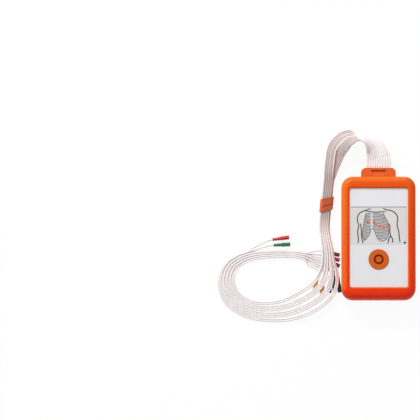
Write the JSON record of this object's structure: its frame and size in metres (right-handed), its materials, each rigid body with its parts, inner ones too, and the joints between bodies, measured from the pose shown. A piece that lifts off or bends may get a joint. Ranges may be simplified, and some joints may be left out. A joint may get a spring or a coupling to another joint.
{
  "type": "ecg home monitor",
  "caption": "Handheld heart monitor in a soft bumper, with a round button, a moulded cable hood, a sliding wire clip and colour-coded lead tips.",
  "frame": {"origin": "centre of the bumper's back face, on the surface that the monitor lies on", "axes": "+X to the right seen from the front, +Y towards the cable hood, +Z out of the front face"},
  "size_m": [0.1833, 0.1779, 0.024],
  "materials": {
    "orange_silicone": "soft satin silicone",
    "orange_rubber": "satin silicone",
    "orange_moulding": "fine moulded grain",
    "white_shell": "fine moulded grain",
    "label_film": "printed satin film",
    "blue_lens": "polished",
    "clear_rubber": "satin silicone",
    "board_green": "solder resist",
    "shield_can": "tinned",
    "chip_black": "moulded",
    "led_white": "moulded",
    "header_ivory": "moulded",
    "cell_metal": "plain sleeve",
    "steel": "nickel plated",
    "contact_brass": "gold flash",
    "wire_jacket": "soft extruded jacket",
    "tip_red": "moulded over the wire",
    "tip_yellow": "moulded over the wire",
    "tip_green": "moulded over the wire",
    "tip_black": "moulded over the wire",
    "tip_brown": "moulded over the wire",
    "tip_violet": "moulded over the wire"
  },
  "bodies": {
    "case": {"bumper": "orange_silicone", "front_shell": "white_shell", "rear_shell": "white_shell", "case_screws": "steel", "front_label": "label_film", "indicator_lens": "blue_lens", "switch_dome": "clear_rubber", "main_board": "board_green", "radio_module": "shield_can", "signal_chip": "chip_black", "indicator_led": "led_white", "lead_header": "header_ivory", "battery_cell_a": "cell_metal", "battery_cell_b": "cell_metal", "battery_spring_a": "steel", "battery_spring_b": "steel", "battery_plate_a": "steel", "battery_plate_b": "steel", "cable_hood": "orange_moulding", "wire_ra": "wire_jacket", "tip_ra": "tip_red", "socket_ra": "contact_brass", "wire_la": "wire_jacket", "tip_la": "tip_yellow", "socket_la": "contact_brass", "wire_ll": "wire_jacket", "tip_ll": "tip_green", "socket_ll": "contact_brass", "wire_rl": "wire_jacket", "tip_rl": "tip_black", "socket_rl": "contact_brass", "wire_v1": "wire_jacket", "tip_v1": "tip_red", "socket_v1": "contact_brass", "wire_v2": "wire_jacket", "tip_v2": "tip_yellow", "socket_v2": "contact_brass", "wire_v3": "wire_jacket", "tip_v3": "tip_green", "socket_v3": "contact_brass", "wire_v4": "wire_jacket", "tip_v4": "tip_brown", "socket_v4": "contact_brass", "wire_v5": "wire_jacket", "tip_v5": "tip_black", "socket_v5": "contact_brass", "wire_v6": "wire_jacket", "tip_v6": "tip_violet", "socket_v6": "contact_brass"},
    "button": {"power_button": "orange_rubber"},
    "door": {"battery_door": "white_shell"},
    "clip": {"wire_clip": "orange_moulding"}
  },
  "joints": [
    {"name": "button_press", "type": "slide", "parent": "case", "child": "button", "axis": [0, 0, -1], "range_m": [0, 0.001], "stiffness_N_per_m": 1800, "springref_m": -0.0003, "deforming": ["switch_dome"]},
    {"name": "door_hinge", "type": "hinge", "parent": "case", "child": "door", "pos_m": [0, 0.0213, 0.003], "axis": [1, 0, 0], "range_deg": [0, 80]},
    {"name": "clip_slide", "type": "slide", "parent": "case", "child": "clip", "axis": [-0.0995, -0.995, 0], "range_m": [-0.006, 0.006]}
  ]
}
